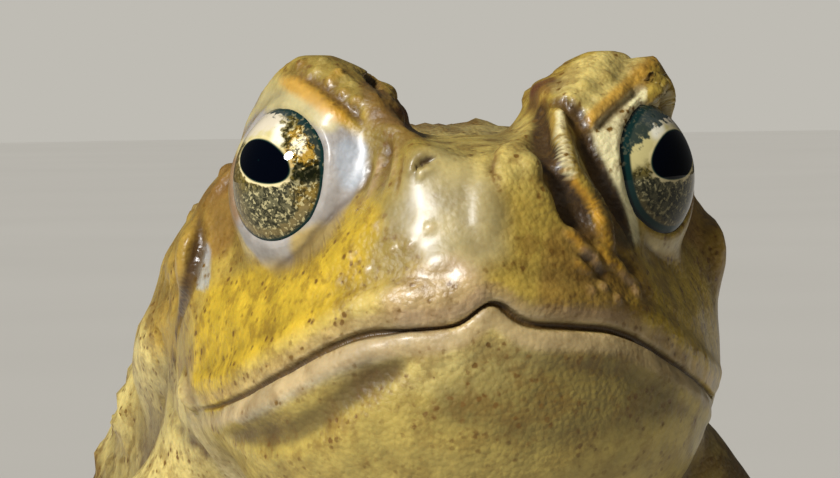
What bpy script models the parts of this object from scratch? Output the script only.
"""A life-size cane toad sitting alert with its head raised, as solid pieces that meet at thin gaps.

The toad faces -Y, its left is +X and up is +Z. Sizes in this file are in millimetres, and each
mesh is scaled to metres when it is finished. Head forms are laid out in the head's own frame: x to
the toad's left, y backwards from the notch of the upper lip, z up. Everything else is in the
body's frame, whose floor is z = 0.
"""

import math
import random

import bmesh
import bpy
import numpy as np
from mathutils import Matrix, Vector

MM = 0.001

# Driving sizes
HEAD_WIDTH = 43.8
SNOUT_TO_VENT = 116.0
EYE_RADIUS = 7.2
GAP = 0.3
HEAD_PITCH = math.radians(12)
LIP_NOTCH = np.array([0.0, -38.0, 51.0])

# Head, in the head's frame
HALF_WIDTH = HEAD_WIDTH / 2 - 0.2
JAW_HINGE = 35.0
EYE_CENTRE = (11.3, 15.6, 12.7)
EYE_OUTWARD = math.radians(53)
EYE_UPWARD = math.radians(7)
LID_OPENING = math.radians(51)
LID_THICKNESS = 0.8
LID_FLARE = 0.2
NOSTRIL = (4.65, 2.9, 11.3)
EARDRUM_RAY = (0.90, 0.34, 0.07)
EARDRUM_RADIUS = 3.2
NECK_CUT = 35.0
HEAD_TAPER = 28.0
LIP_LINE = -1.25
NOTCH_RISE = 1.65
CORNER_DROOP = 3.1
CORNER_LIFT = 0.9

# Height, half width and front of the face at each level above the lip
FACE_LEVELS = (
    (-4.0, 1.000, 0.6),
    (0.0, 1.005, 0.0),
    (2.5, 0.990, -0.6),
    (6.0, 0.935, -0.5),
    (10.0, 0.800, 0.5),
    (13.0, 0.640, 2.6),
    (15.5, 0.500, 7.0),
    (20.0, 0.400, 14.0),
)
# The same for the lower jaw and throat, going down
JAW_LEVELS = (
    (-22.0, 0.620, 12.0),
    (-13.0, 0.760, 6.5),
    (-8.0, 0.870, 3.4),
    (-4.5, 0.935, 1.8),
    (-2.0, 0.975, 0.7),
    (1.0, 0.985, 0.6),
    (4.0, 0.990, 0.6),
)
# Height of the head's roof and of the throat's floor along the midline
ROOF_LINE = ((-2.0, 12.6), (4.0, 14.2), (10.0, 15.6), (20.0, 17.2), (32.0, 18.4), (50.0, 19.0))
THROAT_LINE = ((-2.0, -7.0), (5.0, -10.0), (13.0, -13.0), (24.0, -15.0), (45.0, -16.0))
THROAT_SAC = ((0.0, 19.5, -5.5), (19.0, 18.0, 12.6))

# Torso masses in the body's frame: centre and radii
TORSO_MASSES = (
    ((0.0, 8.0, 45.5), (21.5, 20.0, 18.0)),
    ((0.0, 24.0, 40.5), (20.0, 20.0, 18.5)),
    ((0.0, 11.0, 32.0), (19.5, 18.0, 16.0)),
    ((0.0, 36.0, 27.5), (29.5, 30.0, 26.0)),
    ((0.0, 38.0, 20.5), (27.0, 27.0, 21.0)),
    ((0.0, 46.0, 33.0), (17.0, 17.0, 18.0)),
    ((0.0, 60.0, 21.0), (20.0, 17.0, 17.5)),
)
TORSO_BLEND = 9.0
TORSO_CENTRE = np.array([0.0, 33.0, 30.0])
TORSO_STRETCH = 1.35
VENT = (0.0, SNOUT_TO_VENT + LIP_NOTCH[1] - 3.5, 15.0)

# Parotoid gland: centre in the body's frame, half thickness, length and width, and its directions
GLAND_CENTRE = (18.0, 12.5, 51.6)
GLAND_RADII = (5.4, 16.0, 8.6)
GLAND_ALONG = (0.24, 0.88, -0.41)
GLAND_OUT = (0.86, -0.08, 0.50)

# Limb joints of the left side, in the body's frame
SHOULDER = (16.8, 7.5, 34.0)
ELBOW = (29.8, 15.5, 21.0)
WRIST = (26.0, -5.5, 6.0)
HIP = (17.0, 57.0, 18.5)
KNEE = (39.5, 25.5, 17.5)
ANKLE = (31.5, 64.0, 7.6)
TARSUS_END = (39.5, 45.5, 4.6)

# Limb segments: the joints they join and their radii from one to the other
SEGMENTS = (
    ("upper_arm", SHOULDER, ELBOW, (8.4, 7.6, 6.6, 5.7)),
    ("forearm", ELBOW, WRIST, (4.5, 6.0, 4.9, 3.5)),
    ("thigh", HIP, KNEE, (13.0, 12.2, 10.2, 8.4)),
    ("shank", KNEE, ANKLE, (6.6, 7.9, 6.4, 5.1)),
    ("tarsus", ANKLE, TARSUS_END, (4.0, 4.3, 4.0, 4.0)),
)

# Digits of the left side: degrees out from straight ahead, length and root radius
FINGERS = ((-64, 11.0, 2.2), (-34, 11.5, 2.1), (-6, 15.0, 2.1), (24, 11.0, 2.0))
TOES = ((-37, 10.0, 1.7), (-19, 15.0, 1.8), (-2, 21.0, 1.9), (14, 29.0, 2.05), (33, 20.0, 1.85))
PALM_CENTRE = (25.0, -9.0, 2.7)
PALM_RADII = (5.2, 5.2, 3.3)
FOOT_CENTRE = (40.5, 41.0, 2.6)
FOOT_RADII = (5.6, 7.4, 3.3)
FINGER_ROOT = 2.5
TOE_ROOT = 3.5
FLAT_DEPTH = 0.25
WEB_THICKNESS = 0.9
WEB_REACH = 0.45

# Skin glands raised as warts: number of trial directions, size range, and their seed
TORSO_WARTS = 330
WART_RADIUS = (1.7, 3.4)
WART_HEIGHT = 0.36
WART_SEED = 11
GOLDEN_ANGLE = math.pi * (3 - math.sqrt(5))

COLOURS = {
    "skin": ((0.42, 0.34, 0.10), 0.5),
    "throat": ((0.62, 0.53, 0.26), 0.5),
    "gland": ((0.52, 0.40, 0.10), 0.45),
    "eye": ((0.10, 0.09, 0.04), 0.08),
    "eardrum": ((0.30, 0.22, 0.10), 0.4),
}


# Distance-like forms, negative inside


def ellipsoid(p, centre, radii):
    """Roughly the distance from points p to an ellipsoid."""
    q = p - np.asarray(centre)
    k = np.linalg.norm(q / radii, axis=1)
    steep = np.linalg.norm(q / np.square(radii), axis=1)
    return k * (k - 1) / np.maximum(steep, 1e-9)


def bar(p, a, b, radius_a, radius_b=None):
    """The distance to a round bar from a to b, whose radius may change along it."""
    a, b = np.asarray(a, float), np.asarray(b, float)
    radius_b = radius_a if radius_b is None else radius_b
    share = np.clip((p - a) @ (b - a) / ((b - a) @ (b - a)), 0, 1)
    return np.linalg.norm(p - a - share[:, None] * (b - a), axis=1) - (
        radius_a + (radius_b - radius_a) * share
    )


def chain(p, points, radii):
    """A row of bars through points, one radius for each point."""
    found = [
        bar(p, a, b, ra, rb)
        for a, b, ra, rb in zip(points, points[1:], radii, radii[1:])
    ]
    return np.min(found, axis=0)


def blend(a, b, width):
    """Union of two forms with a fillet of about this width."""
    h = np.maximum(width - np.abs(a - b), 0) / width
    return np.minimum(a, b) - h * h * width / 4


def common(a, b, width):
    """Intersection of two forms with a rounded edge."""
    return -blend(-a, -b, width)


def smooth_curve(pairs):
    """A function through (place, value) pairs with no kinks, held flat past both ends."""
    x, y = (np.array(column, float) for column in zip(*pairs))
    slope = np.gradient(y, x)

    def value(at):
        at = np.clip(at, x[0], x[-1])
        i = np.clip(np.searchsorted(x, at) - 1, 0, len(x) - 2)
        width = x[i + 1] - x[i]
        t = (at - x[i]) / width
        return (
            y[i] * (1 + 2 * t) * (1 - t) ** 2
            + y[i + 1] * t * t * (3 - 2 * t)
            + slope[i] * width * t * (1 - t) ** 2
            - slope[i + 1] * width * t * t * (1 - t)
        )

    return value


def bowed(levels, p, centre_y):
    """Side wall of a face whose outline in plan is half an ellipse, wider or narrower with height."""
    heights, widths, fronts = zip(*levels)
    half = smooth_curve(list(zip(heights, widths)))(p[:, 2]) * HALF_WIDTH
    front = smooth_curve(list(zip(heights, fronts)))(p[:, 2])
    ahead = p[:, 1] - centre_y
    along = ahead / np.where(ahead < 0, centre_y - front, HEAD_TAPER)
    return (np.hypot(p[:, 0] / half, along) - 1) * half * 0.85


# The head's frame in the body's frame

HEAD_BACK = np.array([0.0, math.cos(HEAD_PITCH), -math.sin(HEAD_PITCH)])
HEAD_UP = np.array([0.0, math.sin(HEAD_PITCH), math.cos(HEAD_PITCH)])
HEAD_AXES = np.array([[1.0, 0.0, 0.0], HEAD_BACK, HEAD_UP])


def from_head(p):
    """Points of the head's frame, in the body's frame."""
    return np.asarray(p, float) @ HEAD_AXES + LIP_NOTCH


def to_head(p):
    """Points of the body's frame, in the head's frame."""
    return (p - LIP_NOTCH) @ HEAD_AXES.T


def mirrored(point, side):
    """A point of the left side, or its twin on the right where side is -1."""
    return np.array([point[0] * side, point[1], point[2]])


def eye_axis(side):
    """The direction in which an eye looks, in the head's frame."""
    return np.array(
        [
            side * math.sin(EYE_OUTWARD) * math.cos(EYE_UPWARD),
            -math.cos(EYE_OUTWARD) * math.cos(EYE_UPWARD),
            math.sin(EYE_UPWARD),
        ]
    )


def lip_point(angle, height, inset=0.0):
    """A point of the lip's outline, from the notch at angle 0 to the hinge at a right angle."""
    return np.array(
        [
            (HALF_WIDTH - inset) * math.sin(angle),
            JAW_HINGE - (JAW_HINGE - inset) * math.cos(angle),
            height,
        ]
    )


def lip_roll(q, rise, radius, inset):
    """The rounded edge that a lip makes along the mouth, above it or below it by a rise."""
    steps = 12
    points = []
    for i in range(steps + 1):
        point = lip_point(math.radians(90 * i / steps), 0, inset)
        point[2] = mouth_height(point[0], point[1]) + rise
        points.append(point)
    return chain(q, points, [radius] * len(points))


def ease(t):
    """A smooth step from 0 to 1."""
    t = np.clip(t, 0, 1)
    return t * t * (3 - 2 * t)


def mouth_height(x, y):
    """Height of the mouth line: a notch in front, a droop beside the chin, less of it at the corner."""
    x = np.abs(x)
    notch = NOTCH_RISE * np.exp(-((x / 1.8) ** 2) - (y / 9) ** 2)
    return LIP_LINE + notch - CORNER_DROOP * ease((x - 8.5) / 11) + CORNER_LIFT * ease((y - 18) / 15)


# Fields of the head, the jaw and the torso


def skull_field(q):
    """Upper head with its crests, lids and lips, in the head's frame, for points with x >= 0."""
    roof = smooth_curve(ROOF_LINE)(q[:, 1])
    field = common(
        bowed(FACE_LEVELS, q, JAW_HINGE), q[:, 2] - roof + 0.010 * q[:, 0] ** 2, 3.0
    )
    cheek = ellipsoid(q, (15.2, 31.5, 4.5), (6.5, 9.5, 9.5))
    field = blend(field, cheek, 4.0)
    field = blend(field, lip_roll(q, 1.7, 1.7, 1.4), 1.6)
    orbit = np.linalg.norm(q - EYE_CENTRE, axis=1) - EYE_RADIUS - LID_THICKNESS
    field = blend(field, orbit, 2.2)
    lid = ellipsoid(q, (11.7, 17.0, 16.3), (6.9, 8.2, 7.1))
    field = blend(field, lid, 1.2)
    temple = ellipsoid(q, (12.6, 31.5, 10.0), (9.2, 10.5, 9.0))
    field = blend(field, temple, 3.0)
    canthus = chain(
        q, ((3.8, 4.4, 12.4), (6.2, 7.0, 14.8), (8.0, 10.4, 17.2)), (1.1, 1.3, 1.5)
    )
    brow = chain(
        q, ((8.2, 10.0, 17.5), (7.4, 17.0, 19.4), (9.4, 25.5, 18.9)), (1.5, 1.6, 1.4)
    )
    behind_eye = chain(
        q, ((9.4, 25.5, 18.9), (15.2, 26.6, 15.8), (19.4, 28.2, 11.8)), (1.4, 1.2, 1.0)
    )
    before_eye = chain(
        q,
        ((7.4, 9.0, 16.8), (8.6, 8.0, 13.0), (10.8, 7.6, 9.0), (13.0, 8.2, 6.6)),
        (1.2, 1.1, 1.0, 0.8),
    )
    for crest in (canthus, brow, behind_eye, before_eye):
        field = blend(field, crest, 1.5)
    nostril_rim = np.linalg.norm(q - NOSTRIL, axis=1) - 1.7
    field = blend(field, nostril_rim, 1.8)
    hole = bar(q, (4.2, 1.0, 12.0), (5.6, 1.5, 10.8), 0.6)
    return -blend(-field, hole, 0.5)


def jaw_field(q):
    """Lower jaw and throat, in the head's frame, for points with x >= 0."""
    floor = smooth_curve(THROAT_LINE)(q[:, 1])
    field = common(
        bowed(JAW_LEVELS, q, JAW_HINGE), floor - q[:, 2] + 0.018 * q[:, 0] ** 2, 6.0
    )
    field = blend(field, ellipsoid(q, *THROAT_SAC), 4.0)
    return blend(field, lip_roll(q, -1.5, 1.3, 1.6), 1.5)


def torso_field(p):
    """The trunk from the neck to the vent, in the body's frame, for points with x >= 0."""
    field = None
    for centre, radii in TORSO_MASSES:
        mass = ellipsoid(p, centre, radii)
        field = mass if field is None else blend(field, mass, TORSO_BLEND)
    return blend(field, np.linalg.norm(p - VENT, axis=1) - 3.5, 5.0)


def body_field(p):
    """Head, throat and trunk as one form, in the body's frame."""
    folded = p * (-1, 1, 1)
    folded = np.where(p[:, :1] < 0, folded, p)
    q = to_head(folded)
    head = np.minimum(
        np.maximum(skull_field(q), mouth_height(q[:, 0], q[:, 1]) - 0.4 - q[:, 2]),
        np.maximum(jaw_field(q), q[:, 2] - mouth_height(q[:, 0], q[:, 1]) - 0.4),
    )
    return blend(head, torso_field(folded), 8.0)


def head_half_field(upper):
    """The body's form with the skull alone or the jaw alone for its head."""

    def field(p):
        folded = np.where(p[:, :1] < 0, p * (-1, 1, 1), p)
        q = to_head(folded)
        head = skull_field(q) if upper else jaw_field(q)
        beyond = -8.0 - q[:, 2] if upper else q[:, 2] - 8.0
        return np.maximum(blend(head, torso_field(folded), 8.0), beyond)

    return field


# Meshes


def new_object(name, mesh, colour):
    """An object in the scene with its own material."""
    tint, roughness = COLOURS[colour]
    material = bpy.data.materials.new(name)
    material.use_nodes = True
    shader = material.node_tree.nodes["Principled BSDF"]
    shader.inputs["Base Color"].default_value = (*tint, 1)
    shader.inputs["Roughness"].default_value = roughness
    mesh.materials.append(material)
    obj = bpy.data.objects.new(name, mesh)
    bpy.context.scene.collection.objects.link(obj)
    mesh.shade_smooth()
    return obj


def apply_modifiers(obj):
    """Puts the evaluated mesh in place of the object's own, and drops the modifiers."""
    bpy.context.view_layer.update()
    graph = bpy.context.evaluated_depsgraph_get()
    mesh = bpy.data.meshes.new_from_object(obj.evaluated_get(graph))
    obj.modifiers.clear()
    obj.data = mesh
    mesh.name = obj.name


def wrap(name, colour, field, centre, along, stretch, start, detail, keep, bumps=()):
    """A closed skin over a form: each point of a sphere slides along its ray until it meets the form."""
    bm = bmesh.new()
    bmesh.ops.create_icosphere(bm, subdivisions=detail, radius=1)
    mesh = mesh_of(bm, name)
    rays = np.array([v.co for v in mesh.vertices], float)
    along = np.asarray(along, float) / np.linalg.norm(along)
    rays += (stretch - 1) * (rays @ along)[:, None] * along
    rays /= np.linalg.norm(rays, axis=1)[:, None]
    points = surface_points(field, centre, rays, start)
    for place, radius, height in bumps:
        near = 1 - np.sum((points - place) ** 2, axis=1) / radius**2
        points += (height * np.clip(near, 0, 1) ** 2)[:, None] * rays
    mesh.vertices.foreach_set("co", points.ravel())
    obj = new_object(name, mesh, colour)
    if keep < 1:
        obj.modifiers.new("thinner", "DECIMATE").ratio = keep
        apply_modifiers(obj)
    return obj


def surface_points(field, centre, rays, start):
    """Where rays from a centre inside a form leave it, looked for from a distance inwards."""
    far = np.full(len(rays), float(start))
    for _ in range(70):
        far -= 0.7 * field(centre + far[:, None] * rays)
        far = np.clip(far, 0.5, start)
    return centre + far[:, None] * rays


def tube(centres, radii, sides):
    """A closed round tube through centres, with a radius for each."""
    bm = bmesh.new()
    centres = [Vector(c) for c in centres]
    rings = []
    side = Vector((0, 0, 1))
    for i, (centre, radius) in enumerate(zip(centres, radii)):
        ahead = centres[min(i + 1, len(centres) - 1)] - centres[max(i - 1, 0)]
        across = ahead.cross(side).normalized()
        over = across.cross(ahead).normalized()
        ring = []
        for k in range(sides):
            turn = 2 * math.pi * k / sides
            ring.append(
                bm.verts.new(
                    centre + radius * (math.cos(turn) * across + math.sin(turn) * over)
                )
            )
        rings.append(ring)
    for near, far in zip(rings, rings[1:]):
        for k in range(sides):
            bm.faces.new((near[k - 1], near[k], far[k], far[k - 1]))
    bm.faces.new(rings[0])
    bm.faces.new(rings[-1][::-1])
    bmesh.ops.recalc_face_normals(bm, faces=bm.faces)
    return mesh_of(bm, "tube")


def mesh_of(bm, name):
    """The mesh that a bmesh holds, which is then freed."""
    mesh = bpy.data.meshes.new(name)
    bm.to_mesh(mesh)
    bm.free()
    return mesh


def ball(centre, radii, turn=None, segments=16, rings=10):
    """A mesh ball with three radii, turned by a matrix where one is given."""
    bm = bmesh.new()
    bmesh.ops.create_uvsphere(bm, u_segments=segments, v_segments=rings, radius=1)
    for vertex in bm.verts:
        place = Vector(c * r for c, r in zip(vertex.co, radii))
        vertex.co = (turn @ place if turn else place) + Vector(centre)
    return mesh_of(bm, "ball")


def box(low, high):
    """A mesh box between two corners."""
    bm = bmesh.new()
    bmesh.ops.create_cube(bm, size=1)
    for vertex in bm.verts:
        vertex.co = Vector(
            lo + (c + 0.5) * (hi - lo) for c, lo, hi in zip(vertex.co, low, high)
        )
    return mesh_of(bm, "box")


def boolean(obj, meshes, operation, grow=0.0):
    """Cuts meshes from an object, keeps what it shares with them, or joins them to it, and applies it."""
    group = bpy.data.collections.new("tools")
    bpy.context.scene.collection.children.link(group)
    for mesh in meshes:
        tool = bpy.data.objects.new("tool", mesh.copy())
        tool.hide_render = True
        tool.display_type = "WIRE"
        group.objects.link(tool)
        if grow:
            swell = tool.modifiers.new("swell", "DISPLACE")
            swell.strength = grow
            swell.mid_level = 0
    change = obj.modifiers.new("change", "BOOLEAN")
    change.operation = operation
    change.operand_type = "COLLECTION"
    change.collection = group
    change.solver = "MANIFOLD"
    apply_modifiers(obj)
    for tool in list(group.objects):
        bpy.data.objects.remove(tool)
    bpy.data.collections.remove(group)
    keep_largest(obj)


def keep_largest(obj):
    """Leaves only the largest closed surface of an object."""
    bm = bmesh.new()
    bm.from_mesh(obj.data)
    waiting = set(bm.faces)
    shells = []
    while waiting:
        shell = set()
        front = [waiting.pop()]
        while front:
            face = front.pop()
            shell.add(face)
            for edge in face.edges:
                for other in edge.link_faces:
                    if other in waiting:
                        waiting.remove(other)
                        front.append(other)
        shells.append(shell)
    largest = max(shells, key=lambda shell: sum(face.calc_area() for face in shell))
    loose = [face for face in bm.faces if face not in largest]
    bmesh.ops.delete(bm, geom=loose, context="FACES")
    bm.to_mesh(obj.data)
    bm.free()


def rest_on_floor(obj):
    """Cuts an object flat at floor level."""
    boolean(obj, [box((-150, -150, -40), (150, 150, 0))], "DIFFERENCE")


# Sub-parts


def torso_warts():
    """Places, radii and heights of the warts of the back and flanks, thinning out to the belly."""
    draw = random.Random(WART_SEED)
    rays, radii = [], []
    for i in range(TORSO_WARTS):
        up = 1 - 2 * (i + 0.5) / TORSO_WARTS
        turn = i * GOLDEN_ANGLE
        level = math.sqrt(1 - up * up)
        ray = (level * math.cos(turn), level * math.sin(turn), up)
        radius = draw.uniform(*WART_RADIUS)
        if draw.random() < 0.35 + 0.75 * up and ray[1] > -0.72:
            rays.append(ray)
            radii.append(radius)
    rays = np.array(rays) * (1, TORSO_STRETCH, 1)
    rays /= np.linalg.norm(rays, axis=1)[:, None]
    places = surface_points(body_field, TORSO_CENTRE, rays, 90)
    return [(place, radius, WART_HEIGHT * radius) for place, radius in zip(places, radii)]


def neck_slab(rear):
    """A block that fills all behind the neck cut, or all before it, with half the gap left out."""
    edge = NECK_CUT - GAP / 2 if rear else NECK_CUT + GAP / 2
    mesh = box((-80, edge, -120), (80, 200, 120)) if rear else box((-80, -120, -120), (80, edge, 120))
    place_in_head(mesh)
    return mesh


def place_in_head(mesh):
    """Moves a mesh that was made in the head's frame to its place in the body's frame."""
    for vertex in mesh.vertices:
        vertex.co = Vector(from_head(vertex.co))


def mouth_block(shift):
    """A block that fills all below the mouth line, whose top follows that line."""
    bm = bmesh.new()
    bmesh.ops.create_grid(bm, x_segments=30, y_segments=12, size=1)
    for vertex in bm.verts:
        x = math.copysign(abs(vertex.co.x) ** 1.6, vertex.co.x)
        vertex.co = Vector((x * 34, 25 + vertex.co.y * 32, 0))
    top = list(bm.faces)
    made = bmesh.ops.extrude_face_region(bm, geom=top)
    for item in made["geom"]:
        if isinstance(item, bmesh.types.BMVert):
            item.co.z = -60
    for vertex in bm.verts:
        if vertex.co.z > -30:
            vertex.co.z = mouth_height(vertex.co.x, vertex.co.y) + shift
    bmesh.ops.recalc_face_normals(bm, faces=bm.faces)
    mesh = mesh_of(bm, "mouth_block")
    place_in_head(mesh)
    return mesh


def eye_turn(side):
    """The rotation that brings +Z to an eye's axis, in the body's frame."""
    axis = Vector(eye_axis(side) @ HEAD_AXES)
    return axis.to_track_quat("Z", "Y").to_matrix()


def eyeball_mesh(side, radius):
    """The round of an eye."""
    centre = from_head(mirrored(EYE_CENTRE, side))
    return ball(centre, (radius,) * 3, eye_turn(side), segments=24, rings=12)


def lid_cone(side):
    """The space between the lids: a cone that widens outwards along the eye's axis."""
    bm = bmesh.new()
    near, far = EYE_RADIUS * math.cos(LID_OPENING) - 1.0, EYE_RADIUS + 9.0
    slope = LID_FLARE
    rim = EYE_RADIUS * math.sin(LID_OPENING)
    bmesh.ops.create_cone(
        bm,
        cap_ends=True,
        segments=32,
        radius1=rim - slope,
        radius2=rim + slope * (far - near - 1.0),
        depth=far - near,
    )
    turn = eye_turn(side)
    centre = Vector(from_head(mirrored(EYE_CENTRE, side)))
    for vertex in bm.verts:
        vertex.co = turn @ (vertex.co + Vector((0, 0, (near + far) / 2))) + centre
    return mesh_of(bm, "lid_cone")


def eardrum_mesh(side, grow=0.0):
    """A shallow round drum set in the side of the head."""
    centre = from_head((0, 20, 7))
    ray = mirrored(EARDRUM_RAY, side) @ HEAD_AXES
    ray /= np.linalg.norm(ray)
    place = surface_points(head_half_field(True), centre, ray[None], 60)[0]
    outwards = Vector((side * 1.0, 0.10, 0.08))
    turn = outwards.to_track_quat("Z", "Y").to_matrix()
    radius = EARDRUM_RADIUS + grow
    return ball(place, (radius, radius * 1.08, 1.0 + grow), turn, segments=16, rings=6)


def gland_mesh(side, grow=0.0):
    """One parotoid gland, a long bean on the shoulder."""
    along = Vector(mirrored(GLAND_ALONG, side)).normalized()
    out = Vector(mirrored(GLAND_OUT, side))
    out = (out - out.dot(along) * along).normalized()
    turn = Matrix((out, along, out.cross(along))).transposed()
    radii = [r + grow for r in GLAND_RADII]
    return ball(mirrored(GLAND_CENTRE, side), radii, turn, segments=18, rings=12)


def build_head():
    """The skull with its lids and crests, the jaw with the throat, both parted at the mouth and neck."""
    middle = from_head((0, 20, 7))
    head = wrap("head", "skin", head_half_field(True), middle, (0, 0, 1), 0.85, 60, 6, 0.17)
    boolean(head, [neck_slab(True), mouth_block(GAP / 2)], "DIFFERENCE")
    for side in (-1, 1):
        boolean(head, [eyeball_mesh(side, EYE_RADIUS + GAP), lid_cone(side)], "DIFFERENCE")
        boolean(head, [eardrum_mesh(side, GAP)], "DIFFERENCE")
    middle = from_head((0, 20, -6))
    jaw = wrap("lower_jaw", "throat", head_half_field(False), middle, (0, 0, 1), 0.7, 60, 5, 0.2)
    boolean(jaw, [neck_slab(True)], "DIFFERENCE")
    boolean(jaw, [mouth_block(-GAP / 2)], "INTERSECT")
    return head, jaw


def build_torso():
    """The trunk, from the neck cut to the vent, and the whole body's mesh that limbs are cut with."""
    torso = wrap(
        "torso", "skin", body_field, TORSO_CENTRE, (0, 1, 0), TORSO_STRETCH, 90, 6, 0.15, torso_warts()
    )
    whole = torso.data.copy()
    boolean(torso, [neck_slab(False)], "DIFFERENCE")
    rest_on_floor(torso)
    return torso, whole


def build_segment(name, near, far, radii, grow=0.0):
    """One part of the left limb, thick or thin along its length."""
    near, far = np.array(near), np.array(far)
    radii = np.array(radii) + grow
    steps = np.linspace(0, 1, len(radii))[:, None]
    points = near + steps * (far - near)
    length = np.linalg.norm(far - near)
    stretch = 1 + length / (2.4 * max(radii))
    middle = (near + far) / 2

    def field(p):
        return chain(p, points, radii)

    return wrap(name, "skin", field, middle, far - near, stretch, length, 3, 0.5)


def digit(root, heading, length, radius):
    """One finger or toe that lies on the floor, a little thicker at its joints."""
    ahead = np.array([math.sin(heading), -math.cos(heading), 0.0])
    shape = ((0, 1.0), (0.2, 0.95), (0.42, 1.02), (0.58, 0.86), (0.78, 0.84), (0.94, 0.7), (1, 0.35))
    centres, radii = [], []
    for share, thickness in shape:
        size = radius * thickness
        height = max(size - FLAT_DEPTH, 0.5 * radius) + radius * max(0.9 - 4.5 * share, 0)
        centres.append(np.array(root) + ahead * length * share + (0, 0, height - root[2]))
        radii.append(size)
    return tube(centres, radii, 8)


def digits(centre, root, spec):
    """All fingers or toes of the left side, fanned out from a centre."""
    made = []
    for degrees, length, radius in spec:
        heading = math.radians(degrees)
        ahead = np.array([math.sin(heading), -math.cos(heading), 0.0])
        made.append(digit(np.array(centre) + ahead * root, heading, length, radius))
    return made


def web_mesh():
    """The thin skin between the toes."""
    bm = bmesh.new()
    centre = np.array(FOOT_CENTRE)
    outline = [centre + (-3.5, 3.0, 0)]
    reaches = [(math.radians(d), TOE_ROOT + WEB_REACH * length) for d, length, _ in TOES]
    for i, (turn, reach) in enumerate(reaches):
        outline.append(fan_point(centre, turn, reach))
        if i + 1 < len(reaches):
            beyond, next_reach = reaches[i + 1]
            middle = 0.82 * (reach + next_reach) / 2
            outline.append(fan_point(centre, (turn + beyond) / 2, middle))
    outline.append(centre + (3.5, 3.0, 0))
    low = [bm.verts.new((x, y, -1)) for x, y, _ in outline]
    high = [bm.verts.new((x, y, WEB_THICKNESS)) for x, y, _ in outline]
    bm.faces.new(low)
    bm.faces.new(high[::-1])
    for i in range(len(low)):
        bm.faces.new((low[i - 1], high[i - 1], high[i], low[i]))
    bmesh.ops.recalc_face_normals(bm, faces=bm.faces)
    return mesh_of(bm, "web")


def fan_point(centre, turn, reach):
    """A point at a distance from a centre, in a direction turned from straight ahead."""
    return centre + (math.sin(turn) * reach, -math.cos(turn) * reach, 0)


def build_hand():
    """The left palm with four free fingers, flat on the floor."""
    hand = new_object("hand", ball(PALM_CENTRE, PALM_RADII), "skin")
    boolean(hand, digits(PALM_CENTRE, FINGER_ROOT, FINGERS), "UNION")
    rest_on_floor(hand)
    return hand


def build_foot():
    """The left sole with five toes joined by webs, flat on the floor."""
    foot = new_object("foot", ball(FOOT_CENTRE, FOOT_RADII), "skin")
    boolean(foot, digits(FOOT_CENTRE, TOE_ROOT, TOES) + [web_mesh()], "UNION")
    rest_on_floor(foot)
    return foot


def twin(obj):
    """The same object on the right side."""
    mesh = mirror_mesh(obj.data)
    mesh.materials.clear()
    return new_object(obj.name.replace("_left", "_right"), mesh, "skin")


def mirror_mesh(mesh):
    """The same mesh on the other side."""
    mesh = mesh.copy()
    mesh.transform(Matrix.Scale(-1, 4, (1, 0, 0)))
    mesh.flip_normals()
    return mesh


def segment_cutter(row):
    """The shape that one limb segment needs free around it."""
    obj = build_segment("cutter", *row[1:], grow=GAP)
    mesh = obj.data
    bpy.data.objects.remove(obj)
    return mesh


def build_face_side(side, head, torso):
    """Eye, eardrum and gland of one side, set in the head and the trunk."""
    suffix = "_left" if side > 0 else "_right"
    new_object("eye" + suffix, eyeball_mesh(side, EYE_RADIUS), "eye")
    new_object("eardrum" + suffix, eardrum_mesh(side), "eardrum")
    for obj in (head, torso):
        boolean(obj, [gland_mesh(side, GAP)], "DIFFERENCE")
    new_object("parotoid" + suffix, gland_mesh(side), "gland")


def part_limbs(limbs, cutters, gland, body):
    """Trims the limbs of one side to each other, the trunk and the gland."""
    boolean(limbs["upper_arm"], [gland], "DIFFERENCE")
    for row in (("upper_arm", "forearm", "hand"), ("thigh", "shank", "tarsus", "foot")):
        for i, name in enumerate(row):
            boolean(limbs[name], [body], "DIFFERENCE", grow=GAP)
            for earlier in row[:i]:
                boolean(limbs[name], [cutters[earlier]], "DIFFERENCE")


def main():
    """Builds every sub-part and parts them from each other."""
    for obj in list(bpy.data.objects):
        bpy.data.objects.remove(obj)
    head, _ = build_head()
    torso, body = build_torso()
    left = {row[0]: build_segment(row[0] + "_left", *row[1:]) for row in SEGMENTS}
    left["hand"] = build_hand()
    left["foot"] = build_foot()
    for name, obj in left.items():
        obj.name = name + "_left"
    right = {name: twin(obj) for name, obj in left.items()}
    cutters = {row[0]: segment_cutter(row) for row in SEGMENTS}
    mirrored_cutters = {name: mirror_mesh(mesh) for name, mesh in cutters.items()}
    for side, limbs, tools in ((1, left, cutters), (-1, right, mirrored_cutters)):
        build_face_side(side, head, torso)
        part_limbs(limbs, tools, gland_mesh(side, GAP), body)
    shift_and_scale()


def shift_and_scale():
    """Moves the whole toad so that it stands centred over the origin, and turns sizes into metres."""
    corners = np.array([v.co for obj in bpy.data.objects for v in obj.data.vertices])
    low, high = corners.min(axis=0), corners.max(axis=0)
    middle = (low + high) / 2
    move = Matrix.Translation((0, -middle[1], -low[2]))
    for obj in bpy.data.objects:
        obj.data.transform(Matrix.Scale(MM, 4) @ move)


main()
